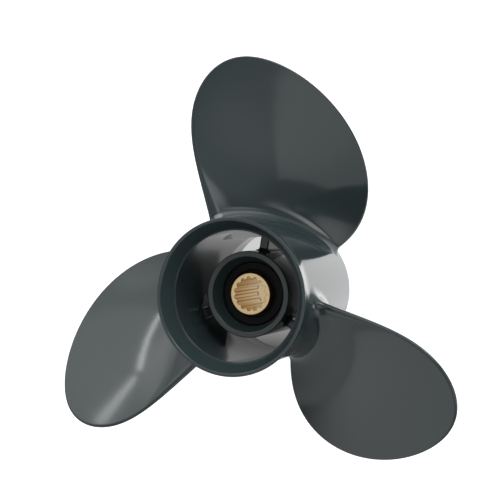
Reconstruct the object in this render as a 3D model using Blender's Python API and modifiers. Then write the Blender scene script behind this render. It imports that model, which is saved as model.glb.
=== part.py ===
"""A three-blade outboard motor propeller with exhaust through its hub.

The shaft axis is +Z, pointing aft, and the part stands on the forward end of its barrel at z = 0.
The real casting is one piece of aluminium: barrel, inner hub, three ribs and three blades. It is
modelled here as those named regions. A rubber bushing and a brass sleeve sit in the inner hub.
"""

from math import cos, pi, radians, sin, tan

import bmesh
import bpy
import numpy as np
from mathutils import Matrix

# Driving dimensions, in metres and degrees
GAP = 0.0003
BLADES = 3
BLADE_STEP = 360.0 / BLADES

TIP_RADIUS = 0.1778
PITCH = 0.4256
RAKE_DEG = 13.0
RAKE_BEND = -0.207
REFERENCE_HEIGHT = 0.0735
HALF_WIDTHS_DEG = (40.1, 42.6, 43.5, 41.9, 36.0)
MID_CHORDS_DEG = (-14.8, -15.5, -12.0, -6.5, -0.5)
ROOT_THICKNESS = 0.0190
EDGE_THICKNESS = 0.0030
FULLNESS = 0.75
FIRST_BLADE_DEG = 90.0
BLADE_ROOT_OVERLAP = 0.004

BARREL_LENGTH = 0.130
BARREL_RADIUS = 0.0540
RIM_RADIUS = 0.0575
FLARE_LENGTH = 0.024
RIM_LIP = 0.0026
MOUTH_DEPTH = 0.012
BORE_RADIUS = 0.0482
BORE_WAIST_RADIUS = 0.0476
BORE_WAIST_HEIGHT = 0.0715
FORWARD_BORE_RADIUS = 0.0510
FORWARD_BORE_DEPTH = 0.030
EDGE_BREAK = 0.0008

HUB_AFT_HEIGHT = 0.0932
HUB_FORWARD_HEIGHT = 0.006
HUB_AFT_RADIUS = 0.0327
HUB_FORWARD_RADIUS = 0.0340
HUB_MOUTH_RADIUS = 0.0285
HUB_LIP_RADIUS = 0.0248
HUB_MOUTH_DEPTH = 0.0105
HUB_LIP_LENGTH = 0.0035
BUSHING_BORE_RADIUS = 0.0278

BUSHING_FORWARD_HEIGHT = 0.016
COLLAR_HEIGHT = 0.0020
COLLAR_RADIUS = 0.0240

SLEEVE_RADIUS = 0.0159
SLEEVE_AFT_HEIGHT = 0.0873
SLEEVE_FORWARD_HEIGHT = 0.010
SLEEVE_FORWARD_CHAMFER = 0.0030
SPLINE_TEETH = 15
SPLINE_MINOR_RADIUS = 0.0116
SPLINE_MAJOR_RADIUS = 0.0130
SPLINE_END_HEIGHT = 0.034
SPLINE_CUT_START = 0.030
THRUST_BORE_RADIUS = 0.0134

RIB_THICKNESS = 0.0070
RIB_AFT_HEIGHT = 0.074
RIB_FORWARD_HEIGHT = 0.016
FIRST_RIB_DEG = 80.5
RIB_OVERLAP = 0.006

CUTTER_MARGIN = 0.010
CUTTER_CORE_RADIUS = 0.030
TURN_STEPS = 72
FLARE_STEPS = 6
MERGE_DISTANCE = 0.00001
SMOOTH_DEG = 30.0
BLADE_SPANS = 20
BLADE_CHORDS = 14

PAINT = ("dark_grey_paint", (0.055, 0.066, 0.068), 0.28, 0.0)
RUBBER = ("black_rubber", (0.012, 0.012, 0.013), 0.65, 0.0)
BRASS = ("brass", (0.62, 0.43, 0.20), 0.30, 1.0)


def clear_scene():
    for obj in list(bpy.data.objects):
        bpy.data.objects.remove(obj, do_unlink=True)


def make_collection(name):
    collection = bpy.data.collections.new(name)
    bpy.context.scene.collection.children.link(collection)
    return collection


def make_material(name, colour, roughness, metallic):
    material = bpy.data.materials.new(name)
    material.use_nodes = True
    shader = material.node_tree.nodes["Principled BSDF"]
    shader.inputs["Base Color"].default_value = (*colour, 1.0)
    shader.inputs["Roughness"].default_value = roughness
    shader.inputs["Metallic"].default_value = metallic
    return material


def place(mesh, name, collection, finish=None):
    obj = bpy.data.objects.new(name, mesh)
    collection.objects.link(obj)
    if finish:
        mesh.materials.clear()
        mesh.materials.append(make_material(f"{finish[0]}_{name}", *finish[1:]))
    mesh.shade_smooth()
    mesh.set_sharp_from_angle(angle=radians(SMOOTH_DEG))
    return obj


def hide_helper(obj):
    obj.hide_render = True
    obj.display_type = "WIRE"


def turned(name, profile, collection, finish=None):
    """A closed profile of (radius, height) pairs, listed down its outer side, turned about Z."""
    mesh = bpy.data.meshes.new(name)
    points = [(radius, 0.0, height) for radius, height in profile]
    edges = [(i, (i + 1) % len(points)) for i in range(len(points))]
    mesh.from_pydata(points, edges, [])
    obj = place(mesh, name, collection, finish)
    screw = obj.modifiers.new("turn", "SCREW")
    screw.steps = TURN_STEPS
    screw.render_steps = TURN_STEPS
    screw.use_merge_vertices = True
    screw.merge_threshold = MERGE_DISTANCE
    return obj


def boolean(obj, other, operation):
    modifier = obj.modifiers.new(other.name, "BOOLEAN")
    modifier.operation = operation
    modifier.solver = "EXACT"
    modifier.object = other


def flare_radius(height):
    """The barrel's outer radius: straight, then a quadratic flare up to the rim."""
    run = max(0.0, height - (BARREL_LENGTH - FLARE_LENGTH)) / FLARE_LENGTH
    return BARREL_RADIUS + (RIM_RADIUS - BARREL_RADIUS) * run * run


def barrel_bore_profile():
    """The barrel's bore from the forward end up to the mouth, as (radius, height)."""
    return [
        (FORWARD_BORE_RADIUS, 0.0),
        (BORE_WAIST_RADIUS, FORWARD_BORE_DEPTH),
        (BORE_WAIST_RADIUS, BORE_WAIST_HEIGHT),
        (BORE_RADIUS, BARREL_LENGTH - MOUTH_DEPTH),
        (RIM_RADIUS - RIM_LIP, BARREL_LENGTH),
    ]


def bore_radius(height):
    radii, heights = zip(*barrel_bore_profile())
    return float(np.interp(height, heights, radii))


def make_barrel(collection):
    flare_start = BARREL_LENGTH - FLARE_LENGTH
    heights = np.linspace(BARREL_LENGTH - EDGE_BREAK, flare_start, FLARE_STEPS + 1)
    outer = [(RIM_RADIUS - EDGE_BREAK, BARREL_LENGTH)]
    outer += [(flare_radius(height), height) for height in heights]
    outer += [(BARREL_RADIUS, flare_start / 2), (BARREL_RADIUS, EDGE_BREAK)]
    outer += [(BARREL_RADIUS - EDGE_BREAK, 0.0)]
    return turned("barrel", outer + barrel_bore_profile(), collection, PAINT)


def hub_radius(height):
    """The inner hub's outer radius, with the draft that lets it leave the mould."""
    run = (HUB_AFT_HEIGHT - height) / (HUB_AFT_HEIGHT - HUB_FORWARD_HEIGHT)
    return HUB_AFT_RADIUS + (HUB_FORWARD_RADIUS - HUB_AFT_RADIUS) * run


def make_inner_hub(collection):
    lip_top = HUB_AFT_HEIGHT - HUB_MOUTH_DEPTH
    lip_bottom = lip_top - HUB_LIP_LENGTH
    profile = [
        (HUB_AFT_RADIUS - EDGE_BREAK, HUB_AFT_HEIGHT),
        (HUB_AFT_RADIUS, HUB_AFT_HEIGHT - EDGE_BREAK),
        (HUB_FORWARD_RADIUS, HUB_FORWARD_HEIGHT + EDGE_BREAK),
        (HUB_FORWARD_RADIUS - EDGE_BREAK, HUB_FORWARD_HEIGHT),
        (BUSHING_BORE_RADIUS, HUB_FORWARD_HEIGHT),
        (BUSHING_BORE_RADIUS, lip_bottom),
        (HUB_LIP_RADIUS, lip_bottom),
        (HUB_LIP_RADIUS, lip_top),
        (HUB_MOUTH_RADIUS, HUB_AFT_HEIGHT),
    ]
    return turned("inner_hub", profile, collection, PAINT)


def make_bushing(collection):
    top = HUB_AFT_HEIGHT - HUB_MOUTH_DEPTH - HUB_LIP_LENGTH - GAP
    outer = BUSHING_BORE_RADIUS - GAP
    inner = SLEEVE_RADIUS + GAP
    profile = [
        (COLLAR_RADIUS, top + COLLAR_HEIGHT),
        (COLLAR_RADIUS, top),
        (outer, top),
        (outer, BUSHING_FORWARD_HEIGHT + COLLAR_HEIGHT),
        (outer - COLLAR_HEIGHT, BUSHING_FORWARD_HEIGHT),
        (inner, BUSHING_FORWARD_HEIGHT),
        (inner, top + COLLAR_HEIGHT),
    ]
    return turned("rubber_bushing", profile, collection, RUBBER)


def spline_outline():
    """The spline hole's outline: each tooth space is a trapezoid from the minor to the major radius."""
    step = 2 * pi / SPLINE_TEETH
    shape = ((-0.30, SPLINE_MINOR_RADIUS), (-0.20, SPLINE_MAJOR_RADIUS))
    shape += ((0.20, SPLINE_MAJOR_RADIUS), (0.30, SPLINE_MINOR_RADIUS))
    points = []
    for tooth in range(SPLINE_TEETH):
        for share, radius in shape:
            angle = (tooth + share) * step
            points.append((radius * cos(angle), radius * sin(angle)))
    return points


def extruded_outline(name, points, bottom, top, collection):
    """A flat outline, filled and given its thickness as a curve, then made a closed mesh."""
    curve = bpy.data.curves.new(name, "CURVE")
    curve.dimensions = "2D"
    curve.fill_mode = "BOTH"
    curve.extrude = (top - bottom) / 2
    spline = curve.splines.new("POLY")
    spline.points.add(len(points) - 1)
    for point, (x, y) in zip(spline.points, points):
        point.co = (x, y, 0.0, 1.0)
    spline.use_cyclic_u = True
    flat = bpy.data.objects.new(name + "_curve", curve)
    collection.objects.link(flat)
    bpy.context.view_layer.update()
    mesh = bpy.data.meshes.new_from_object(flat.evaluated_get(bpy.context.evaluated_depsgraph_get()))
    bpy.data.objects.remove(flat, do_unlink=True)
    shape = bmesh.new()
    shape.from_mesh(mesh)
    bmesh.ops.remove_doubles(shape, verts=shape.verts, dist=MERGE_DISTANCE)
    bmesh.ops.translate(shape, verts=shape.verts, vec=(0.0, 0.0, (top + bottom) / 2))
    bmesh.ops.recalc_face_normals(shape, faces=shape.faces)
    shape.to_mesh(mesh)
    shape.free()
    return place(mesh, name, collection)


def make_sleeve(collection, cutters):
    profile = [
        (SLEEVE_RADIUS - EDGE_BREAK, SLEEVE_AFT_HEIGHT),
        (SLEEVE_RADIUS, SLEEVE_AFT_HEIGHT - EDGE_BREAK),
        (SLEEVE_RADIUS, SLEEVE_FORWARD_HEIGHT + EDGE_BREAK),
        (SLEEVE_RADIUS - EDGE_BREAK, SLEEVE_FORWARD_HEIGHT),
        (THRUST_BORE_RADIUS, SLEEVE_FORWARD_HEIGHT),
        (THRUST_BORE_RADIUS, SPLINE_END_HEIGHT),
        (SPLINE_MINOR_RADIUS, SPLINE_END_HEIGHT + SLEEVE_FORWARD_CHAMFER),
        (SPLINE_MINOR_RADIUS, SLEEVE_AFT_HEIGHT),
    ]
    sleeve = turned("splined_sleeve", profile, collection, BRASS)
    top = SLEEVE_AFT_HEIGHT + CUTTER_MARGIN
    cutter = extruded_outline("spline_cutter", spline_outline(), SPLINE_CUT_START, top, cutters)
    hide_helper(cutter)
    boolean(sleeve, cutter, "DIFFERENCE")
    return sleeve


def make_passage_space(cutters):
    """The ring-shaped space between inner hub and barrel, less the gap that keeps each rib clear."""
    heights = (HUB_FORWARD_HEIGHT, FORWARD_BORE_DEPTH, BORE_WAIST_HEIGHT, RIB_AFT_HEIGHT + CUTTER_MARGIN)
    inner = [(hub_radius(height) + GAP, height) for height in heights]
    outer = [(bore_radius(height) - GAP, height) for height in reversed(heights)]
    space = turned("passage_space", outer + inner, cutters)
    hide_helper(space)
    return space


def make_rib(number, collection, space):
    inside = HUB_AFT_RADIUS - RIB_OVERLAP
    outside = BARREL_RADIUS
    height = RIB_AFT_HEIGHT - RIB_FORWARD_HEIGHT
    shape = bmesh.new()
    bmesh.ops.create_cube(shape, size=1.0)
    bmesh.ops.scale(shape, verts=shape.verts, vec=(outside - inside, RIB_THICKNESS, height))
    middle = ((outside + inside) / 2, 0.0, (RIB_AFT_HEIGHT + RIB_FORWARD_HEIGHT) / 2)
    bmesh.ops.translate(shape, verts=shape.verts, vec=middle)
    turn = Matrix.Rotation(radians(FIRST_RIB_DEG + BLADE_STEP * number), 3, "Z")
    bmesh.ops.rotate(shape, verts=shape.verts, cent=(0.0, 0.0, 0.0), matrix=turn)
    mesh = bpy.data.meshes.new(f"rib_{number + 1}")
    shape.to_mesh(mesh)
    shape.free()
    rib = place(mesh, f"rib_{number + 1}", collection, PAINT)
    boolean(rib, space, "INTERSECT")
    return rib


def through_stations(values, share):
    """A smooth curve through values at equal steps of share from 0 to 1."""
    steps = np.linspace(0.0, 1.0, len(values))
    factors = np.linalg.solve(np.vander(steps, increasing=True), np.array(values))
    return np.vander(np.atleast_1d(share), len(values), increasing=True) @ factors


def raked(radius):
    """How far aft rake carries the blade at a radius: a slope that eases off outwards."""
    out = radius - BARREL_RADIUS
    return tan(radians(RAKE_DEG)) * out + RAKE_BEND * out * out


def blade_sections():
    """Points of the blade's aft face and forward back, as two grids indexed by span and chord."""
    start = BARREL_RADIUS - BLADE_ROOT_OVERLAP
    run = np.linspace(0.0, 1.0, BLADE_SPANS + 1)[:-1]
    radius = start + (TIP_RADIUS - start) * (1.0 - (1.0 - run) ** 2)
    share = (radius - BARREL_RADIUS) / (TIP_RADIUS - BARREL_RADIUS)
    half = np.radians(np.sqrt(1.0 - share) * through_stations(HALF_WIDTHS_DEG, share))
    middle = np.radians(through_stations(MID_CHORDS_DEG, share))
    chord = -np.cos(np.linspace(0.0, pi, BLADE_CHORDS + 1))
    turn = middle[:, None] + half[:, None] * chord[None, :]
    radii = np.repeat(radius[:, None], chord.size, axis=1)
    height = REFERENCE_HEIGHT + PITCH * turn / (2 * pi) + raked(radii)
    inside = (1.0 - share[:, None]) * (1.0 - chord[None, :] ** 2)
    thickness = EDGE_THICKNESS + (ROOT_THICKNESS - EDGE_THICKNESS) * inside**FULLNESS
    lead = np.arctan2(PITCH, 2 * pi * radii)
    back_turn = turn + thickness * np.sin(lead) / radii
    back_height = height - thickness * np.cos(lead)
    return (radii, turn, height), (radii, back_turn, back_height)


def cartesian(radius, turn, height, offset):
    angle = turn + offset
    return np.stack([radius * np.cos(angle), radius * np.sin(angle), height], axis=-1)


def make_blade(number, collection, cutter):
    """A closed loft: each section runs along the face and returns along the back."""
    face, back = blade_sections()
    offset = radians(FIRST_BLADE_DEG - BLADE_STEP * number)
    rings = np.concatenate([cartesian(*face, offset), cartesian(*back, offset)[:, ::-1]], axis=1)
    spans, ring = rings.shape[:2]
    tip_turn = radians(MID_CHORDS_DEG[-1])
    tip_face = REFERENCE_HEIGHT + PITCH * tip_turn / (2 * pi) + raked(TIP_RADIUS)
    tip_height = tip_face - EDGE_THICKNESS / 2
    tip = (TIP_RADIUS * cos(tip_turn + offset), TIP_RADIUS * sin(tip_turn + offset), tip_height)
    points = [tuple(point) for point in rings.reshape(-1, 3)] + [tip]
    faces = [tuple(range(ring))[::-1]]
    for span in range(spans - 1):
        for step in range(ring):
            after = (step + 1) % ring
            low, high = span * ring, (span + 1) * ring
            faces.append((low + step, low + after, high + after, high + step))
    last = (spans - 1) * ring
    faces += [(last + step, last + (step + 1) % ring, len(points) - 1) for step in range(ring)]
    mesh = bpy.data.meshes.new(f"blade_{number + 1}")
    mesh.from_pydata(points, [], faces)
    shape = bmesh.new()
    shape.from_mesh(mesh)
    bmesh.ops.recalc_face_normals(shape, faces=shape.faces)
    shape.to_mesh(mesh)
    shape.free()
    blade = place(mesh, f"blade_{number + 1}", collection, PAINT)
    boolean(blade, cutter, "DIFFERENCE")
    return blade


def make_root_cutter(cutters):
    """The barrel's outside, grown by the gap, which trims each blade's root."""
    heights = np.linspace(BARREL_LENGTH, BARREL_LENGTH - FLARE_LENGTH, FLARE_STEPS + 1)
    profile = [(CUTTER_CORE_RADIUS, BARREL_LENGTH)]
    profile += [(flare_radius(height) + GAP, height) for height in heights]
    profile += [(BARREL_RADIUS + GAP, -CUTTER_MARGIN), (CUTTER_CORE_RADIUS, -CUTTER_MARGIN)]
    cutter = turned("root_cutter", profile, cutters)
    hide_helper(cutter)
    return cutter


def main():
    clear_scene()
    parts = make_collection("outboard_propeller")
    cutters = make_collection("cutters")
    make_barrel(parts)
    make_inner_hub(parts)
    make_bushing(parts)
    make_sleeve(parts, cutters)
    space = make_passage_space(cutters)
    root_cutter = make_root_cutter(cutters)
    for number in range(BLADES):
        make_rib(number, parts, space)
        make_blade(number, parts, root_cutter)


main()
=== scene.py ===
# %% [markdown]
# # A painted outboard motor propeller
# The real part is one aluminium casting: a flared barrel, an inner hub held in it by three ribs, and
# three blades. A rubber bushing in the inner hub grips a brass sleeve with a splined hole.
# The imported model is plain: its pieces lie apart and have no fillets. This script builds the rounded,
# filleted surfaces in its place, from the same sizes.

import bmesh
import bpy
import numpy as np
from mathutils import Matrix, Vector


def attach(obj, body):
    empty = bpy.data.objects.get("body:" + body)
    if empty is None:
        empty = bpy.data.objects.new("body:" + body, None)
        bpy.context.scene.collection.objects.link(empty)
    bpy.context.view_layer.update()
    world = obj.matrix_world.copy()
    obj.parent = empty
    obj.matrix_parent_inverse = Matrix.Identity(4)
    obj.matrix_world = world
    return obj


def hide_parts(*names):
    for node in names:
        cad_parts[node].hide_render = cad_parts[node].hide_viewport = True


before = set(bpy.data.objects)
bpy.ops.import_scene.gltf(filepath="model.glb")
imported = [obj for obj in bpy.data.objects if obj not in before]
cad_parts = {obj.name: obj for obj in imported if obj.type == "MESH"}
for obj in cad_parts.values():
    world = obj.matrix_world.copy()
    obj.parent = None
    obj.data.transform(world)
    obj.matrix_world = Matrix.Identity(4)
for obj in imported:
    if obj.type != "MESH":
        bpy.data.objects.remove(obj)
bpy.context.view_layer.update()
print("nodes:", ", ".join(sorted(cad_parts)))

# %% [markdown]
# ## The camera
# The photograph looks down on the aft end, 21 degrees off the shaft. A camera can be aimed at a target,
# but then its roll is a guess. Here two of its axes are given and the third follows from them, which
# fixes aim and roll together.

# %% Camera
CAMERA_PLACE = (0.26833, 0.04556, 0.78925)
CAMERA_RIGHT = (0.93402, -0.00031, -0.35721)
CAMERA_UP = (-0.00555, 0.99987, -0.01536)
CAMERA_LENS_MM = 71.55
CAMERA_CLIP_START = 0.01


def make_camera():
    """A camera whose columns are right, up and backwards, so backwards is right crossed with up."""
    right, up = Vector(CAMERA_RIGHT), Vector(CAMERA_UP)
    data = bpy.data.cameras.new("camera")
    data.lens = CAMERA_LENS_MM
    data.clip_start = CAMERA_CLIP_START
    camera = bpy.data.objects.new("camera", data)
    bpy.context.scene.collection.objects.link(camera)
    turn = Matrix((right, up, right.cross(up))).transposed().to_4x4()
    camera.matrix_world = Matrix.Translation(CAMERA_PLACE) @ turn
    bpy.context.scene.camera = camera
    return camera


camera = make_camera()
print("camera at", tuple(round(value, 3) for value in camera.location))

# %% [markdown]
# ## Sizes
# These repeat the driving dimensions of the CAD part, in metres. They could be measured on the packed
# model, but its round walls are flat facets, which lie a little inside the true sizes. The shaft axis is
# +Z, pointing aft.

# %% Sizes of the casting
BARREL_LENGTH = 0.130
BARREL_RADIUS = 0.0540
RIM_RADIUS = 0.0575
RIM_LIP = 0.0026
FLARE_LENGTH = 0.024
MOUTH_DEPTH = 0.012
BORE_RADIUS = 0.0482
BORE_WAIST_RADIUS = 0.0476
BORE_WAIST_HEIGHT = 0.0715
FORWARD_BORE_RADIUS = 0.0510
FORWARD_BORE_DEPTH = 0.030

HUB_AFT_HEIGHT = 0.0932
HUB_FORWARD_HEIGHT = 0.006
HUB_AFT_RADIUS = 0.0327
HUB_FORWARD_RADIUS = 0.0340
HUB_MOUTH_RADIUS = 0.0285
HUB_LIP_RADIUS = 0.0248
HUB_MOUTH_DEPTH = 0.0105
HUB_LIP_LENGTH = 0.0035
BUSHING_BORE_RADIUS = 0.0278

print("barrel", 2000 * BARREL_RADIUS, "mm across,", 1000 * BARREL_LENGTH, "mm long")

# %% [markdown]
# ## From a grid of points to a mesh
# Every new surface is a table of points: rows along it and columns round it. Neighbours in the table
# become the corners of a quad. Writing this once keeps each piece down to its own formula.

# %% Grid to mesh
MERGE_DISTANCE = 1e-7
SHARP_DEG = 50.0


def mesh_from_grid(name, grid, rows_close=False, cap_first_row=False):
    """Quads join point (row, column) to its neighbours; columns always close on themselves."""
    rows, columns = grid.shape[:2]
    index = np.arange(rows * columns).reshape(rows, columns)
    beside = np.roll(index, -1, axis=1)
    quads = np.stack([index, beside, np.roll(beside, -1, axis=0), np.roll(index, -1, axis=0)], axis=-1)
    if not rows_close:
        quads = quads[:-1]
    faces = quads.reshape(-1, 4).tolist()
    if cap_first_row:
        faces.append(index[0].tolist())
    mesh = bpy.data.meshes.new(name)
    mesh.from_pydata(grid.reshape(-1, 3), [], faces)
    return finish_mesh(name, mesh)


def finish_mesh(name, mesh):
    """Merges doubled points, turns the faces outwards and shades them smooth."""
    shape = bmesh.new()
    shape.from_mesh(mesh)
    bmesh.ops.remove_doubles(shape, verts=shape.verts, dist=MERGE_DISTANCE)
    bmesh.ops.recalc_face_normals(shape, faces=shape.faces)
    shape.to_mesh(mesh)
    shape.free()
    mesh.shade_smooth()
    mesh.set_sharp_from_angle(angle=np.radians(SHARP_DEG))
    piece = bpy.data.objects.new(name, mesh)
    bpy.context.scene.collection.objects.link(piece)
    weighted = piece.modifiers.new("flat faces stay flat", "WEIGHTED_NORMAL")
    weighted.keep_sharp = True
    return piece


print("grid to mesh is ready")

# %% [markdown]
# ## Rounded turned parts
# Barrel, hub and bushing come off a lathe or out of a round mould, so each is a profile swept about the
# shaft. A cast and painted edge is never sharp, and its rounding is what catches the thin line of light
# seen round the rim. A Bevel modifier would give every edge the same width, so here each corner of a
# profile is given its own radius before it is turned.

# %% Rounded profiles, turned
TURN_STEPS = 288
CORNER_STEPS = 7
LARGEST_SHARE = 0.48
SAME_POINT = 1e-6
TINY_ANGLE = 1e-9


def rounded(corners, radii):
    """Each corner C becomes (1-s)^2 A + 2s(1-s) C + s^2 B, with A and B on its two sides.

    They lie radius / tan(half the corner's angle) from C, but at most the largest share of a side.
    """
    corner = np.array(corners, float)
    before, after = np.roll(corner, 1, axis=0) - corner, np.roll(corner, -1, axis=0) - corner
    before_length = np.linalg.norm(before, axis=1, keepdims=True)
    after_length = np.linalg.norm(after, axis=1, keepdims=True)
    before, after = before / before_length, after / after_length
    cosine = np.clip((before * after).sum(axis=1, keepdims=True), -1.0, 1.0)
    reach = np.array(radii)[:, None] / np.tan(np.arccos(cosine) / 2 + TINY_ANGLE)
    reach = np.minimum(reach, LARGEST_SHARE * np.minimum(before_length, after_length))
    start, end = corner + before * reach, corner + after * reach
    s = np.linspace(0.0, 1.0, CORNER_STEPS)[None, :, None]
    curve = (1 - s) ** 2 * start[:, None] + 2 * s * (1 - s) * corner[:, None] + s**2 * end[:, None]
    points = curve.reshape(-1, 2)
    moved = np.linalg.norm(points - np.roll(points, 1, axis=0), axis=1) > SAME_POINT
    return points[moved]


def turned(name, profile):
    """Point (r, z) of the profile goes to (r cos a, r sin a, z) for angles a all the way round."""
    angle = np.linspace(0.0, 2 * np.pi, TURN_STEPS, endpoint=False)[:, None]
    radius, height = profile[None, :, 0], profile[None, :, 1]
    grid = np.stack(np.broadcast_arrays(radius * np.cos(angle), radius * np.sin(angle), height), axis=-1)
    return mesh_from_grid(name, grid, rows_close=True)


print("turned parts have", TURN_STEPS, "steps")

# %% [markdown]
# ## The barrel
# The outer tube carries the blades, and exhaust leaves through it. Its aft end flares by 3.5 mm, which
# keeps exhaust from being drawn forward on to the blades. A plain cone would meet the tube in a crease,
# so the flare is a quadratic, which leaves the tube with none. Inside, a fine bright circle shows where
# the mouth's cone meets the bore. It is made as a small raised lip, which is a guess at its shape.

# %% Barrel
FLARE_POINTS = 16
MOUTH_LEDGE = 0.0009
LEDGE_DROP = 0.0003
RIM_ROUNDING = 0.0012
# one radius for each corner after the flare, in the order of the profile
BARREL_ROUNDINGS = [0.0009, 0.0009, 0.020, 0.0, 0.0005, 0.0003, 0.0010]


def flare_radius(height):
    """Straight tube, then rim minus tube radius times the square of the distance into the flare."""
    run = np.clip((height - (BARREL_LENGTH - FLARE_LENGTH)) / FLARE_LENGTH, 0.0, None)
    return BARREL_RADIUS + (RIM_RADIUS - BARREL_RADIUS) * run**2


def barrel_profile():
    """Down the flare and the outside, then up the inside, over the ledge and out to the rim."""
    flare_heights = np.linspace(BARREL_LENGTH, BARREL_LENGTH - FLARE_LENGTH, FLARE_POINTS)
    outer = [(flare_radius(height), height) for height in flare_heights]
    mouth_height = BARREL_LENGTH - MOUTH_DEPTH
    corners = outer + [
        (BARREL_RADIUS, 0.0),
        (FORWARD_BORE_RADIUS, 0.0),
        (BORE_WAIST_RADIUS, FORWARD_BORE_DEPTH),
        (BORE_WAIST_RADIUS, BORE_WAIST_HEIGHT),
        (BORE_RADIUS, mouth_height),
        (BORE_RADIUS + MOUTH_LEDGE, mouth_height - LEDGE_DROP),
        (RIM_RADIUS - RIM_LIP, BARREL_LENGTH),
    ]
    radii = [RIM_ROUNDING] + [0.0] * (len(outer) - 1) + BARREL_ROUNDINGS
    return rounded(corners, radii)


barrel = turned("painted_barrel", barrel_profile())
print("barrel:", len(barrel.data.polygons), "faces")

# %% [markdown]
# ## The inner hub
# The inner tube holds the rubber. Its aft end is a flat ring with a conical mouth, and a small lip
# below the cone keeps the bushing in. Its wall has draft, the slight taper that lets it leave a mould.
# A cylinder could be bored and bevelled to this shape, but one turned profile holds all of it.

# %% Inner hub
HUB_ROUNDINGS = [0.0009, 0.0009, 0.0006, 0.0004, 0.0006, 0.0014, 0.0008]


def hub_profile():
    """Down the tapered outside, up the bushing's bore, round the lip and out along the cone."""
    lip_top = HUB_AFT_HEIGHT - HUB_MOUTH_DEPTH
    lip_bottom = lip_top - HUB_LIP_LENGTH
    corners = [
        (HUB_AFT_RADIUS, HUB_AFT_HEIGHT),
        (HUB_FORWARD_RADIUS, HUB_FORWARD_HEIGHT),
        (BUSHING_BORE_RADIUS, HUB_FORWARD_HEIGHT),
        (BUSHING_BORE_RADIUS, lip_bottom),
        (HUB_LIP_RADIUS, lip_bottom),
        (HUB_LIP_RADIUS, lip_top),
        (HUB_MOUTH_RADIUS, HUB_AFT_HEIGHT),
    ]
    return rounded(corners, HUB_ROUNDINGS)


inner_hub = turned("painted_hub", hub_profile())
print("hub:", len(inner_hub.data.polygons), "faces")

# %% [markdown]
# ## Fillets
# Metal can't be cast into a sharp inside corner, so a blade or rib grows wider just before it meets a
# wall. Seen from the side, that growth is a quarter circle, tangent to both surfaces. A union and a
# bevel could make one size of it. Here the size changes round the blade, so the grids grow it: at height
# h over the wall, the outline moves out by f minus the root of f^2 - (f - h)^2, with f the fillet's size.

# %% Fillet rule
FILLET_STEPS = 18
ROOT_SINK = 0.0030


def fillet_rows():
    """Heights and outward moves of a fillet of radius 1, from the wall to where it ends."""
    angle = np.linspace(0.0, np.pi / 2, FILLET_STEPS)
    return 1.0 - np.cos(angle), 1.0 - np.sin(angle)


print("a fillet has", FILLET_STEPS, "rows")

# %% [markdown]
# ## The blades
# A blade is part of a screw surface: going round the shaft by an angle raises it by that share of the
# pitch. Rake leans it aft as it goes outwards. Its outline comes from the width and the middle of its
# sections at five radii, and the root of 1 - share brings the width to nothing at a round tip.
# A blade could be pulled into shape by hand, but a formula makes all three alike and keeps their pitch
# even. A loop of points runs round each section: along the aft face from the leading edge to the
# trailing edge, and back along the forward face.

# %% Blade sizes
BLADES = 3
BLADE_STEP_DEG = 120.0
FIRST_BLADE_DEG = 90.0
TIP_RADIUS = 0.1778
PITCH = 0.4256
RAKE_DEG = 13.0
RAKE_BEND = -0.207
REFERENCE_HEIGHT = 0.0735
HALF_WIDTHS_DEG = (40.1, 42.6, 43.5, 41.9, 36.0)
MID_CHORDS_DEG = (-14.8, -15.5, -12.0, -6.5, -0.5)
ROOT_THICKNESS = 0.0190
EDGE_THICKNESS = 0.0030
FULLNESS = 0.75
BLADE_ROWS = 120
BLADE_COLUMNS = 192


def curve_through(values, share):
    """The polynomial that passes through values at equal steps of share from 0 to 1."""
    steps = np.linspace(0.0, 1.0, len(values))
    factors = np.linalg.solve(np.vander(steps, increasing=True), np.array(values))
    return sum(factor * share**power for power, factor in enumerate(factors))


print("blades reach", 1000 * TIP_RADIUS, "mm from the shaft")

# %% [markdown]
# ## Where a blade meets the barrel
# The root fillet isn't the same all round. It is small at the leading edge, where water enters, and
# large on the aft face, which carries the thrust. On that face it also sweeps up along the trailing
# edge, as a stiffening web that fades out towards the tip and rolls off to a thin edge. That web is a
# guess, made from a band of light on one blade. The fillet's four sizes are joined by waves, and the
# web's height grows as a power of the way from mid chord to that edge.

# %% Fillet and web round a section
LEADING_FILLET = 0.0055
FACE_FILLET = 0.0135
TRAILING_FILLET = 0.0110
BACK_FILLET = 0.0080
WEB_HEIGHT = 0.085
WEB_GROWTH = 2.4
WEB_LIFT = 0.0032
WEB_FADE = 1.6
WEB_ROLL = 4.5
TINY_LIFT = 1e-7


def fillet_size(chord, side):
    """mean + fore-aft wave + face-back wave + a wave of half the length, through the four sizes."""
    edges, faces = (LEADING_FILLET + TRAILING_FILLET) / 2, (FACE_FILLET + BACK_FILLET) / 2
    first_waves = (TRAILING_FILLET - LEADING_FILLET) / 2 * chord + (FACE_FILLET - BACK_FILLET) / 2 * side
    return (edges + faces) / 2 + first_waves + (edges - faces) / 2 * (chord**2 - side**2)


def web_lift(radius, chord, edge_distance):
    """Lift times way to the trailing edge times depth to the power of fade.

    It is rolled off at the edge by 1 - (1 - d)^2, where d is the distance to it over roll times lift.
    """
    way = np.clip(1.0 - 2.0 * np.arccos(chord) / np.pi, 0.0, 1.0)
    reach = FACE_FILLET + WEB_HEIGHT * way**WEB_GROWTH
    depth = np.clip(1.0 - (radius - BARREL_RADIUS) / reach, 0.0, 1.0)
    lift = WEB_LIFT * way * depth**WEB_FADE
    from_roll = np.clip(edge_distance / (WEB_ROLL * lift + TINY_LIFT), 0.0, 1.0)
    return lift * (1.0 - (1.0 - from_roll) ** 2)


print("fillets from", 1000 * LEADING_FILLET, "to", 1000 * FACE_FILLET, "mm")

# %% Blade surface


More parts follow.
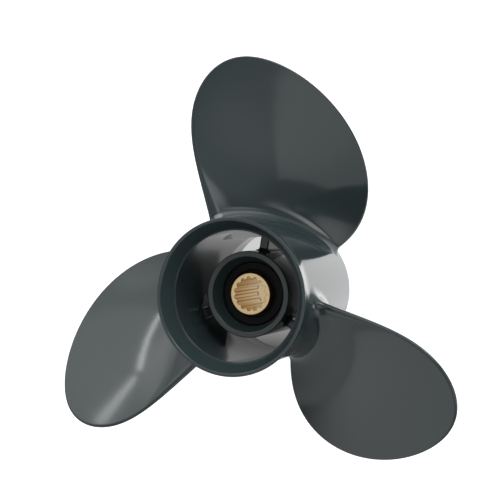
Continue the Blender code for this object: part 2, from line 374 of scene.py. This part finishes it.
def blade_grid(offset):
    """Rows go from the sunk root, through the fillet, to the tip; columns go round each section."""
    round_section = np.linspace(0.0, 2 * np.pi, BLADE_COLUMNS, endpoint=False)[None, :]
    chord, side = -np.cos(round_section), np.sin(round_section)
    fillet = fillet_size(chord, side)
    rise, spread = fillet_rows()
    run = 1.0 - (1.0 - np.linspace(0.0, 1.0, BLADE_ROWS + 1)[1:, None]) ** 2
    sunk = np.full_like(chord, BARREL_RADIUS - ROOT_SINK)
    lower = BARREL_RADIUS + fillet * rise[:, None]
    upper = BARREL_RADIUS + fillet + (TIP_RADIUS - BARREL_RADIUS - fillet) * run
    radius = np.concatenate([sunk, lower, upper])
    widening = np.concatenate([fillet, fillet * spread[:, None], np.zeros_like(upper)])
    return blade_points(radius, chord, side, widening, offset)


def blade_points(radius, chord, side, widening, offset):
    """Screw surface, less half the thickness, plus or minus the rounded half thickness and fillet.

    The web is added on the aft face only. inside is (1 - share)(1 - chord^2), which is 0 at the edge,
    and inside over its own slope is the distance from the edge.
    """
    share = (radius - BARREL_RADIUS) / (TIP_RADIUS - BARREL_RADIUS)
    rounding = np.sqrt(np.clip(1.0 - share, 0.0, None))
    widest = np.radians(curve_through(HALF_WIDTHS_DEG, share))
    turn = np.radians(curve_through(MID_CHORDS_DEG, share)) + rounding * widest * chord
    lead = np.arctan2(PITCH, 2 * np.pi * radius)
    inside = rounding**2 * (1.0 - chord**2)
    slope_outwards = 1.0 / (TIP_RADIUS - BARREL_RADIUS)
    slope_around = 2.0 * np.abs(chord) * rounding / (widest * radius)
    edge_distance = inside / np.hypot(slope_outwards, slope_around)
    from_edge = np.clip(2.0 * edge_distance / EDGE_THICKNESS, 0.0, 1.0)
    roundness = np.sqrt(1.0 - (1.0 - from_edge) ** 2)
    thickness = EDGE_THICKNESS + (ROOT_THICKNESS - EDGE_THICKNESS) * inside**FULLNESS
    facing = np.where(side >= 0.0, 1.0, -1.0)
    web = web_lift(radius, chord, edge_distance) * (facing > 0.0)
    across = thickness / 2 * (facing * roundness - 1.0) + widening * facing * roundness + web
    along = widening * np.sign(chord) * (1.0 - from_edge)
    angle = turn + (along * np.cos(lead) - across * np.sin(lead)) / radius + offset
    out = radius - BARREL_RADIUS
    screw = REFERENCE_HEIGHT + PITCH * turn / (2 * np.pi)
    raked = screw + np.tan(np.radians(RAKE_DEG)) * out + RAKE_BEND * out**2
    height = raked + along * np.sin(lead) + across * np.cos(lead)
    return np.stack([radius * np.cos(angle), radius * np.sin(angle), height], axis=-1)


blades = []
for number in range(BLADES):
    offset = np.radians(FIRST_BLADE_DEG - BLADE_STEP_DEG * number)
    blades.append(mesh_from_grid(f"painted_blade_{number + 1}", blade_grid(offset), cap_first_row=True))
print("blades:", [len(blade.data.polygons) for blade in blades], "faces")

# %% [markdown]
# ## The ribs
# Three flat walls hold the hub in the barrel, and the exhaust passes between them. A box would meet the
# two round walls in gaps and sharp corners. So a rib is a rounded rectangle, carried outwards from the
# hub to the barrel, and the fillet rule widens it at both ends.

# %% Ribs
RIB_THICKNESS = 0.0070
RIB_AFT_HEIGHT = 0.074
RIB_FORWARD_HEIGHT = 0.016
FIRST_RIB_DEG = 80.5
RIB_FILLET = 0.0026
RIB_EDGE_RADIUS = 0.0014
RIB_MIDDLE_ROWS = 6


def hub_radius(height):
    """The hub's outside at a height, on the straight taper between its two ends."""
    run = (HUB_AFT_HEIGHT - height) / (HUB_AFT_HEIGHT - HUB_FORWARD_HEIGHT)
    return HUB_AFT_RADIUS + (HUB_FORWARD_RADIUS - HUB_AFT_RADIUS) * run


def bore_radius(height):
    """The barrel's inside at a height, along its profile."""
    heights = (0.0, FORWARD_BORE_DEPTH, BORE_WAIST_HEIGHT, BARREL_LENGTH - MOUTH_DEPTH)
    radii = (FORWARD_BORE_RADIUS, BORE_WAIST_RADIUS, BORE_WAIST_RADIUS, BORE_RADIUS)
    return np.interp(height, heights, radii)


def rib_grid(angle):
    """Rows go from inside the hub's wall to inside the barrel's; columns go round the rectangle.

    A point's radius is the hub's, plus its row's share of the span between the two walls.
    """
    half = RIB_THICKNESS / 2
    corners = [
        (-half, RIB_AFT_HEIGHT),
        (half, RIB_AFT_HEIGHT),
        (half, RIB_FORWARD_HEIGHT),
        (-half, RIB_FORWARD_HEIGHT),
    ]
    outline = rounded(corners, [RIB_EDGE_RADIUS] * 4)
    tangent = np.roll(outline, -1, axis=0) - np.roll(outline, 1, axis=0)
    outward = np.stack([-tangent[:, 1], tangent[:, 0]], axis=1)
    outward /= np.linalg.norm(outward, axis=1, keepdims=True)
    rise, spread = fillet_rows()
    middle = np.zeros(RIB_MIDDLE_ROWS)
    widening = RIB_FILLET * np.concatenate([[1.0], spread, middle, spread[::-1], [1.0]])
    place = outline[None] + widening[:, None, None] * outward[None]
    inner, outer = hub_radius(place[..., 1]), bore_radius(place[..., 1])
    span = outer - inner
    climb = RIB_FILLET * rise[:, None] / span.mean()
    steps = np.linspace(0.0, 1.0, RIB_MIDDLE_ROWS + 2)[1:-1, None]
    between = climb[-1] + (1.0 - 2 * climb[-1]) * steps
    sink = np.full((1, 1), ROOT_SINK / span.mean())
    share = np.concatenate([-sink, climb, between, 1.0 - climb[::-1], 1.0 + sink])
    radius = inner + span * share
    across, height = place[..., 0], place[..., 1]
    x = radius * np.cos(angle) - across * np.sin(angle)
    y = radius * np.sin(angle) + across * np.cos(angle)
    return np.stack([x, y, height], axis=-1)


def both_ends_capped(name, grid):
    """The ends lie inside the walls, but are closed, so that the rib is a solid."""
    first, last = grid[:1].mean(axis=1, keepdims=True), grid[-1:].mean(axis=1, keepdims=True)
    columns = grid.shape[1]
    ends = [np.repeat(end, columns, axis=1) for end in (first, last)]
    return mesh_from_grid(name, np.concatenate([ends[0], grid, ends[1]]))


ribs = []
for number in range(BLADES):
    angle = np.radians(FIRST_RIB_DEG + BLADE_STEP_DEG * number)
    ribs.append(both_ends_capped(f"painted_rib_{number + 1}", rib_grid(angle)))
print("ribs:", [len(rib.data.polygons) for rib in ribs], "faces")

# %% [markdown]
# ## The rubber bushing
# Rubber moulded round the sleeve drives the hub and slips if a blade strikes something. Only its aft
# face shows, deep in the hub: a shallow collar with a groove round the brass. The groove could be cut
# with a Boolean, but as corners of the turned profile it keeps its soft moulded edges.

# %% Bushing
GAP = 0.0003
COLLAR_HEIGHT = 0.0020
COLLAR_RADIUS = 0.0240
SLEEVE_RADIUS = 0.0159
BUSHING_FORWARD_HEIGHT = 0.016
GROOVE_DEPTH = 0.0012
GROOVE_FLOOR_WIDTH = 0.0016
GROOVE_MOUTH_WIDTH = 0.0022
BUSHING_ROUNDINGS = [0.0008, 0.0003, 0.0008, 0.0020, 0.0008, 0.0002, 0.0004, 0.0005]


def bushing_profile():
    """Down the collar and the outside, up the hole, then along the groove's floor and wall."""
    top = HUB_AFT_HEIGHT - HUB_MOUTH_DEPTH - HUB_LIP_LENGTH - GAP
    outer, inner = BUSHING_BORE_RADIUS - GAP, SLEEVE_RADIUS + GAP
    face = top + COLLAR_HEIGHT
    corners = [
        (COLLAR_RADIUS, face),
        (COLLAR_RADIUS, top),
        (outer, top),
        (outer, BUSHING_FORWARD_HEIGHT),
        (inner, BUSHING_FORWARD_HEIGHT),
        (inner, face - GROOVE_DEPTH),
        (inner + GROOVE_FLOOR_WIDTH, face - GROOVE_DEPTH),
        (inner + GROOVE_MOUTH_WIDTH, face),
    ]
    return rounded(corners, BUSHING_ROUNDINGS)


bushing = turned("moulded_bushing", bushing_profile())
print("bushing:", len(bushing.data.polygons), "faces")

# %% [markdown]
# ## The splined sleeve
# A broach cuts 15 grooves along the brass sleeve's hole. Fifteen cutters could do the same, but would
# leave long thin faces that shade badly. Round the hole, the wall's radius is a wave with flat tops and
# bottoms, so one profile is turned and its inner points follow that wave.

# %% Splined sleeve
SLEEVE_AFT_HEIGHT = 0.0873
SLEEVE_FORWARD_HEIGHT = 0.010
SPLINE_TEETH = 15
SPLINE_MINOR_RADIUS = 0.0116
SPLINE_MAJOR_RADIUS = 0.0130
SPLINE_END_HEIGHT = 0.034
THRUST_BORE_RADIUS = 0.0134
SPLINE_LEAD_IN = 0.0030
SLEEVE_TURN_STEPS = 360
WAVE_SOFTNESS = 0.55
SLEEVE_ROUNDINGS = [0.0006, 0.0006, 0.0004, 0.0002, 0.0003, 0.0005]


def smooth_step(value):
    """0 below 0, 1 above 1 and 3v^2 - 2v^3 between."""
    value = np.clip(value, 0.0, 1.0)
    return value * value * (3.0 - 2.0 * value)


def sleeve_grid():
    """A turned profile whose spline stretch moves out by (major - minor) times the tooth wave."""
    lead_in = SPLINE_END_HEIGHT + SPLINE_LEAD_IN
    corners = [
        (SLEEVE_RADIUS, SLEEVE_AFT_HEIGHT),
        (SLEEVE_RADIUS, SLEEVE_FORWARD_HEIGHT),
        (THRUST_BORE_RADIUS, SLEEVE_FORWARD_HEIGHT),
        (THRUST_BORE_RADIUS, SPLINE_END_HEIGHT),
        (SPLINE_MINOR_RADIUS, lead_in),
        (SPLINE_MINOR_RADIUS, SLEEVE_AFT_HEIGHT),
    ]
    profile = rounded(corners, SLEEVE_ROUNDINGS)
    angle = np.linspace(0.0, 2 * np.pi, SLEEVE_TURN_STEPS, endpoint=False)[:, None]
    wave = smooth_step(0.5 + np.cos(SPLINE_TEETH * angle) / (2 * WAVE_SOFTNESS))
    radius, height = profile[None, :, 0], profile[None, :, 1]
    in_hole = (radius < (SPLINE_MINOR_RADIUS + SLEEVE_RADIUS) / 2) & (height > SPLINE_END_HEIGHT)
    radius = radius + (SPLINE_MAJOR_RADIUS - SPLINE_MINOR_RADIUS) * wave * in_hole
    grid = np.broadcast_arrays(radius * np.cos(angle), radius * np.sin(angle), height)
    return np.stack(grid, axis=-1)


sleeve = mesh_from_grid("broached_sleeve", sleeve_grid(), rows_close=True)
print("sleeve:", len(sleeve.data.polygons), "faces")

# %% [markdown]
# ## Shared effects
# Enamel, rubber and brass are never one flat colour. Their noise could be wired again in each material,
# but small node groups keep it in one place: a slow drift of tone, a fine grain, and lines left by a
# broach. Each group puts out a value or a colour only.

# %% Node group helpers


def new_group(name, inputs, output, output_type):
    """A shader group with named number or colour inputs and one output."""
    group = bpy.data.node_groups.new(name, "ShaderNodeTree")
    for label, kind, value in inputs:
        socket = group.interface.new_socket(label, in_out="INPUT", socket_type=kind)
        socket.default_value = value
    group.interface.new_socket(output, in_out="OUTPUT", socket_type=output_type)
    return group, group.nodes.new("NodeGroupInput"), group.nodes.new("NodeGroupOutput")


def object_noise(tree, detail=2.0, stretch=(1.0, 1.0, 1.0)):
    """Noise over Object coordinates, so a pattern keeps its size on every piece."""
    place = tree.nodes.new("ShaderNodeTexCoord")
    mapping = tree.nodes.new("ShaderNodeMapping")
    mapping.inputs["Scale"].default_value = stretch
    noise = tree.nodes.new("ShaderNodeTexNoise")
    noise.inputs["Detail"].default_value = detail
    tree.links.new(place.outputs["Object"], mapping.inputs["Vector"])
    tree.links.new(mapping.outputs["Vector"], noise.inputs["Vector"])
    return noise


print("group helpers are ready")

# %% Tone drift and grain


def make_tone_drift():
    """Colour times 1 + drift times (noise - a half), with noise between 0 and 1."""
    inputs = [
        ("Colour", "NodeSocketColor", (1, 1, 1, 1)),
        ("Scale", "NodeSocketFloat", 20.0),
        ("Drift", "NodeSocketFloat", 0.1),
    ]
    group, given, result = new_group("tone_drift", inputs, "Colour", "NodeSocketColor")
    noise = object_noise(group)
    centred = group.nodes.new("ShaderNodeMath")
    centred.operation = "SUBTRACT"
    centred.inputs[1].default_value = 0.5
    swing = group.nodes.new("ShaderNodeMath")
    swing.operation = "MULTIPLY_ADD"
    swing.inputs[2].default_value = 1.0
    scaled = group.nodes.new("ShaderNodeVectorMath")
    scaled.operation = "SCALE"
    group.links.new(given.outputs["Scale"], noise.inputs["Scale"])
    group.links.new(noise.outputs["Fac"], centred.inputs[0])
    group.links.new(centred.outputs[0], swing.inputs[0])
    group.links.new(given.outputs["Drift"], swing.inputs[1])
    group.links.new(given.outputs["Colour"], scaled.inputs[0])
    group.links.new(swing.outputs[0], scaled.inputs["Scale"])
    group.links.new(scaled.outputs["Vector"], result.inputs["Colour"])
    return group


def make_grain(name, stretch, detail):
    """A height from noise of a given scale, which a Bump node turns into a surface."""
    inputs = [("Scale", "NodeSocketFloat", 200.0)]
    group, given, result = new_group(name, inputs, "Height", "NodeSocketFloat")
    noise = object_noise(group, detail=detail, stretch=stretch)
    group.links.new(given.outputs["Scale"], noise.inputs["Scale"])
    group.links.new(noise.outputs["Fac"], result.inputs["Height"])
    return group


tone_drift = make_tone_drift()
grain = make_grain("fine_grain", stretch=(1.0, 1.0, 1.0), detail=2.0)
broach_lines = make_grain("broach_lines", stretch=(1.0, 1.0, 0.02), detail=3.0)
print("groups:", tone_drift.name, grain.name, broach_lines.name)

# %% [markdown]
# ## Finishes
# The enamel is dark, so most of what the eye sees on it is reflected studio light. Its colour matters
# less than its gloss: a little roughness spreads the lamps into soft bands. An image could hold its
# grain, but noise worked out from the place needs no unwrapping and has one size on every piece.

# %% Material helpers


def new_material(name, colour, roughness, metallic):
    """A material and its Principled shader, with what is the same all over set on the sockets."""
    material = bpy.data.materials.new(name)
    material.use_nodes = True
    shader = material.node_tree.nodes["Principled BSDF"]
    shader.inputs["Base Color"].default_value = (*colour, 1.0)
    shader.inputs["Roughness"].default_value = roughness
    shader.inputs["Metallic"].default_value = metallic
    return material, shader


def add_tone(material, shader, colour, scale, drift):
    """The colour goes to the shader through a tone drift."""
    node = material.node_tree.nodes.new("ShaderNodeGroup")
    node.node_tree = tone_drift
    node.inputs["Colour"].default_value = (*colour, 1.0)
    node.inputs["Scale"].default_value = scale
    node.inputs["Drift"].default_value = drift
    material.node_tree.links.new(node.outputs["Colour"], shader.inputs["Base Color"])


def add_bump(material, shader, group, scale, distance):
    """The height of a grain group, times a distance in metres, tilts the shader's normal."""
    node = material.node_tree.nodes.new("ShaderNodeGroup")
    node.node_tree = group
    node.inputs["Scale"].default_value = scale
    bump = material.node_tree.nodes.new("ShaderNodeBump")
    bump.inputs["Distance"].default_value = distance
    material.node_tree.links.new(node.outputs["Height"], bump.inputs["Height"])
    material.node_tree.links.new(bump.outputs["Normal"], shader.inputs["Normal"])


print("material helpers are ready")

# %% Enamel, rubber and brass
ENAMEL_COLOUR = (0.025, 0.037, 0.039)
RUBBER_COLOUR = (0.003, 0.003, 0.003)
BRASS_COLOUR = (0.76, 0.57, 0.31)
RUBBER_SPECULAR = 0.2

enamel, shader = new_material("dark_grey_enamel", ENAMEL_COLOUR, roughness=0.11, metallic=0.0)
add_tone(enamel, shader, ENAMEL_COLOUR, scale=14.0, drift=0.12)
add_bump(enamel, shader, grain, scale=140.0, distance=0.00002)

rubber, shader = new_material("black_rubber", RUBBER_COLOUR, roughness=0.60, metallic=0.0)
shader.inputs["Specular IOR Level"].default_value = RUBBER_SPECULAR
add_tone(rubber, shader, RUBBER_COLOUR, scale=60.0, drift=0.25)
add_bump(rubber, shader, grain, scale=2600.0, distance=0.00003)

brass, shader = new_material("broached_brass", BRASS_COLOUR, roughness=0.28, metallic=1.0)
add_tone(brass, shader, BRASS_COLOUR, scale=120.0, drift=0.08)
add_bump(brass, shader, broach_lines, scale=1800.0, distance=0.00003)

print("materials:", enamel.name, rubber.name, brass.name)

# %% [markdown]
# ## Putting the pieces on the frame
# Each piece takes the place of its plain CAD node and rides on the part's one body.

# %% Assign finishes and ride on the frame


def settle(piece, material, slot_name, *nodes):
    """Gives a piece its finish and its body, and hides the CAD nodes it replaces. The slot name is not
    used.
    """
    piece.data.materials.append(material)
    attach(piece, "root")
    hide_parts(*nodes)


settle(barrel, enamel, "painted_casting", "barrel")
settle(inner_hub, enamel, "painted_casting", "inner_hub")
for number in range(BLADES):
    settle(blades[number], enamel, "painted_casting", f"blade_{number + 1}")
    settle(ribs[number], enamel, "painted_casting", f"rib_{number + 1}")
settle(bushing, rubber, "rubber", "rubber_bushing")
settle(sleeve, brass, "brass", "splined_sleeve")

# %% [markdown]
# ## Floor and light
# The photograph has a white ground and soft light with no hard shadow. A plain lit floor would show
# shadows, so this one glows, like a light table, and round the object the camera sees it evenly white.
# Reflections see another pattern there, which no real floor has: a painted pool of light, chosen to give
# the photograph's own, bright in one patch beside the barrel at +X and dim everywhere else. Inside the
# barrel the floor's glow is a painted shade, for camera and reflections alike, darkest at -Y.

# %% Floor
FLOOR_HALF = 6.0
FLOOR_COLOUR = (0.45, 0.45, 0.45)
FLOOR_ROUGHNESS = 0.6
# painted light: a pool of glow beside the barrel that only reflections see, and its fall-off
NEAR_GLOW = 1.6
FAR_GLOW = 0.15
NEAR_MIDDLE = (0.080, 0.012, 0.0)
NEAR_REACH = 0.035
FAR_START = 0.065
# painted shade inside the barrel: the floor's glow at the two ends of Y, and where those ends lie
PAINTED_SHADE_GLOW = (0.09, 0.60)
PAINTED_SHADE_FROM_TO = (-0.050, -0.005)


def ramp(tree, value, first, last, low, high):
    """A Map Range node: low where the value is first, high where it is last, straight between."""
    node = tree.nodes.new("ShaderNodeMapRange")
    for label, number in zip(("From Min", "From Max", "To Min", "To Max"), (first, last, low, high)):
        node.inputs[label].default_value = number
    tree.links.new(value, node.inputs["Value"])
    return node.outputs["Result"]


def mix(tree, factor, first, second):
    """First where the factor is 0 and second where it is 1. Second may be a plain number."""
    node = tree.nodes.new("ShaderNodeMix")
    tree.links.new(factor, node.inputs["Factor"])
    tree.links.new(first, node.inputs["A"])
    if isinstance(second, float):
        node.inputs["B"].default_value = second
    else:
        tree.links.new(second, node.inputs["B"])
    return node.outputs["Result"]


def distance_from(tree, place, middle):
    """How far each point of the floor is from a middle."""
    node = tree.nodes.new("ShaderNodeVectorMath")
    node.operation = "DISTANCE"
    node.inputs[1].default_value = middle
    tree.links.new(place, node.inputs[0])
    return node.outputs["Value"]


def add_glow(tree, shader):
    """Inside the barrel the glow is a painted shade, lighter as Y grows, and outside it is 1 to a camera.

    Other rays see the outside as a painted pool of light, falling from near to far with the distance from
    the near middle.
    """
    place = tree.nodes.new("ShaderNodeTexCoord").outputs["Object"]
    parts = tree.nodes.new("ShaderNodeSeparateXYZ")
    tree.links.new(place, parts.inputs[0])
    from_middle = distance_from(tree, place, NEAR_MIDDLE)
    # painted light seen only in reflections: bright near the middle at +X, dim further out
    painted_pool_of_light = ramp(tree, from_middle, NEAR_REACH, FAR_START, NEAR_GLOW, FAR_GLOW)
    outside = mix(tree, tree.nodes.new("ShaderNodeLightPath").outputs["Is Camera Ray"], painted_pool_of_light, 1.0)
    # painted shade: inside the barrel the floor glows less, least of all at -Y
    inside = ramp(tree, parts.outputs["Y"], *PAINTED_SHADE_FROM_TO, *PAINTED_SHADE_GLOW)
    from_shaft = distance_from(tree, place, (0.0, 0.0, 0.0))
    wall = ramp(tree, from_shaft, FORWARD_BORE_RADIUS, BARREL_RADIUS, 0.0, 1.0)
    tree.links.new(mix(tree, wall, inside, outside), shader.inputs["Emission Color"])


def make_floor():
    """A square at height 0, where the barrel's forward end rests."""
    half = FLOOR_HALF
    corners = [(-half, -half, 0), (half, -half, 0), (half, half, 0), (-half, half, 0)]
    mesh = bpy.data.meshes.new("studio_floor")
    mesh.from_pydata(corners, [], [(0, 1, 2, 3)])
    floor = bpy.data.objects.new("studio_floor", mesh)
    bpy.context.scene.collection.objects.link(floor)
    material, shader = new_material("pale_floor", FLOOR_COLOUR, FLOOR_ROUGHNESS, metallic=0.0)
    shader.inputs["Emission Strength"].default_value = 1.0
    add_glow(material.node_tree, shader)
    mesh.materials.append(material)
    return floor


floor = make_floor()
print(floor.name, "is", 2 * FLOOR_HALF, "m wide")

# %% [markdown]
# A gloss surface shows a picture of the studio, so the studio is built from large soft lights with no
# hard edge. Lamps could do that, but each would need its own size and distance. Here each light is a
# patch of the world: full strength near its middle, nothing past its rim. Its direction is given by how
# far it leans from the shaft axis and which way it leans.

# %% Soft lights in the world
DIM_ROOM = 0.18
BACKDROP = 1.0

# name: (lean from +Z, bearing from +X towards +Y, inner half angle, outer half angle, strength)
# with all four angles in degrees
SOFT_LIGHTS = {
    "upper right": (64.0, 56.0, 4.0, 24.0, 6.0),
    "right horizon": (88.0, 48.0, 8.0, 26.0, 2.0),
    "right band": (67.0, 20.0, 5.0, 13.0, 2.0),
    "right": (48.0, -6.0, 8.0, 26.0, 0.35),
    "upper left": (60.0, 118.0, 14.0, 40.0, 1.35),
    "upper left low": (61.0, 134.0, 19.0, 24.0, 0.45),
    "upper left high": (52.0, 87.0, 9.0, 15.0, 0.45),
    "left horizon": (86.0, 140.0, 6.0, 22.0, 0.9),
    "left": (72.0, 216.0, 8.0, 34.0, 0.95),
    "overhead": (18.0, 185.0, 6.0, 26.0, 0.6),
    "lower overhead": (36.0, -40.0, 6.0, 26.0, 0.35),
    "low right": (90.0, -26.0, 4.0, 22.0, 3.5),
    "low front": (90.0, -68.0, 6.0, 22.0, 1.2),
}


def heading(lean, bearing):
    """The direction (sin l cos b, sin l sin b, cos l) for lean l and bearing b."""
    lean, bearing = np.radians(lean), np.radians(bearing)
    return Vector((np.sin(lean) * np.cos(bearing), np.sin(lean) * np.sin(bearing), np.cos(lean)))


def add_soft_light(tree, ray, before, name, light):
    """Adds strength times a smooth step of the cosine between the ray and the light's middle.

    The step is 0 at the outer half angle's cosine and 1 at the inner one's.
    """
    lean, bearing, inner, outer, strength = light
    cosine = tree.nodes.new("ShaderNodeVectorMath")
    cosine.operation = "DOT_PRODUCT"
    cosine.inputs[1].default_value = heading(lean, bearing)
    tree.links.new(ray, cosine.inputs[0])
    patch = tree.nodes.new("ShaderNodeMapRange")
    patch.label = name
    patch.interpolation_type = "SMOOTHSTEP"
    patch.inputs["From Min"].default_value = np.cos(np.radians(outer))
    patch.inputs["From Max"].default_value = np.cos(np.radians(inner))
    patch.inputs["To Max"].default_value = strength
    tree.links.new(cosine.outputs["Value"], patch.inputs["Value"])
    total = tree.nodes.new("ShaderNodeMath")
    tree.links.new(patch.outputs["Result"], total.inputs[0])
    tree.links.new(before, total.inputs[1])
    return total.outputs[0]


def make_world():
    """Soft lights for every ray but the camera's own, which sees a plain pale backdrop."""
    world = bpy.data.worlds.new("studio")
    world.use_nodes = True
    tree = world.node_tree
    background = tree.nodes["Background"]
    ray = tree.nodes.new("ShaderNodeTexCoord").outputs["Generated"]
    room = tree.nodes.new("ShaderNodeValue")
    room.outputs[0].default_value = DIM_ROOM
    total = room.outputs[0]
    for name, light in SOFT_LIGHTS.items():
        total = add_soft_light(tree, ray, total, name, light)
    path = tree.nodes.new("ShaderNodeLightPath")
    seen = tree.nodes.new("ShaderNodeMix")
    seen.inputs["B"].default_value = BACKDROP
    tree.links.new(path.outputs["Is Camera Ray"], seen.inputs["Factor"])
    tree.links.new(total, seen.inputs["A"])
    tree.links.new(seen.outputs["Result"], background.inputs["Strength"])
    background.inputs["Color"].default_value = (1.0, 1.0, 1.0, 1.0)
    bpy.context.scene.world = world
    return world


world = make_world()
print(world.name, "has soft lights:", ", ".join(SOFT_LIGHTS))

# %% [markdown]
# Three sharper lamps give the gloss its drawn lines: a nearly square window that the upper blade shows,
# and two thin strips, one after the other, for the long bent highlight down the left blade. A lamp could
# be moved about until its reflection falls right. It is quicker to name the place that should mirror
# each end and the direction that the place mirrors, and to stretch the lamp between the two.

# %% Window and strip lamps
LAMP_DISTANCE = 1.6
WINDOW_WIDTH = 0.90
STRIP_WIDTH = 0.07


def lamp(name, first, last, width, radiance):
    """A flat lamp between two ends, each seen in the gloss of a place, and turned to face them.

    An end is its place plus the lamp distance times its heading. Power is pi * area * radiance.
    """
    places = [Vector(place) for place, lean, bearing in (first, last)]
    ends = [place + LAMP_DISTANCE * heading(*end[1:]) for place, end in zip(places, (first, last))]
    length = (ends[1] - ends[0]).length
    along = (ends[1] - ends[0]).normalized()
    middle = (ends[0] + ends[1]) / 2
    towards = middle - (places[0] + places[1]) / 2
    towards = (towards - along * towards.dot(along)).normalized()
    data = bpy.data.lights.new(name, "AREA")
    data.shape = "RECTANGLE"
    data.size, data.size_y = width, length
    data.energy = np.pi * width * length * radiance
    made = bpy.data.objects.new(name, data)
    bpy.context.scene.collection.objects.link(made)
    turn = Matrix((along.cross(towards), along, towards)).transposed().to_4x4()
    made.matrix_world = Matrix.Translation(middle) @ turn
    return made


# places on the blades that mirror the lamps, each with the lean and bearing of what it mirrors
WINDOW_ENDS = [((0.02, 0.11, 0.075), 28.4, -68.2), ((0.02, 0.11, 0.075), 61.2, -51.5)]
STRIP_ENDS = [((-0.089, -0.023, 0.063), 71.5, 113.0), ((-0.092, -0.062, 0.091), 68.0, 136.0)]
STRIP_TAIL_ENDS = [((-0.095, -0.067, 0.093), 66.5, 137.5), ((-0.117, -0.101, 0.107), 55.0, 146.5)]
lamps = [
    lamp("window", *WINDOW_ENDS, WINDOW_WIDTH, radiance=0.75),
    lamp("strip", *STRIP_ENDS, STRIP_WIDTH, radiance=7.0),
    lamp("strip tail", *STRIP_TAIL_ENDS, STRIP_WIDTH, radiance=5.5),
]
for made in lamps:
    print(made.name, "is", round(made.data.size, 2), "by", round(made.data.size_y, 2), "m")

# %% Tones
# the Standard view keeps a white floor white, which Blender's usual view would turn grey
bpy.context.scene.view_settings.view_transform = "Standard"
print("view:", bpy.context.scene.view_settings.view_transform)
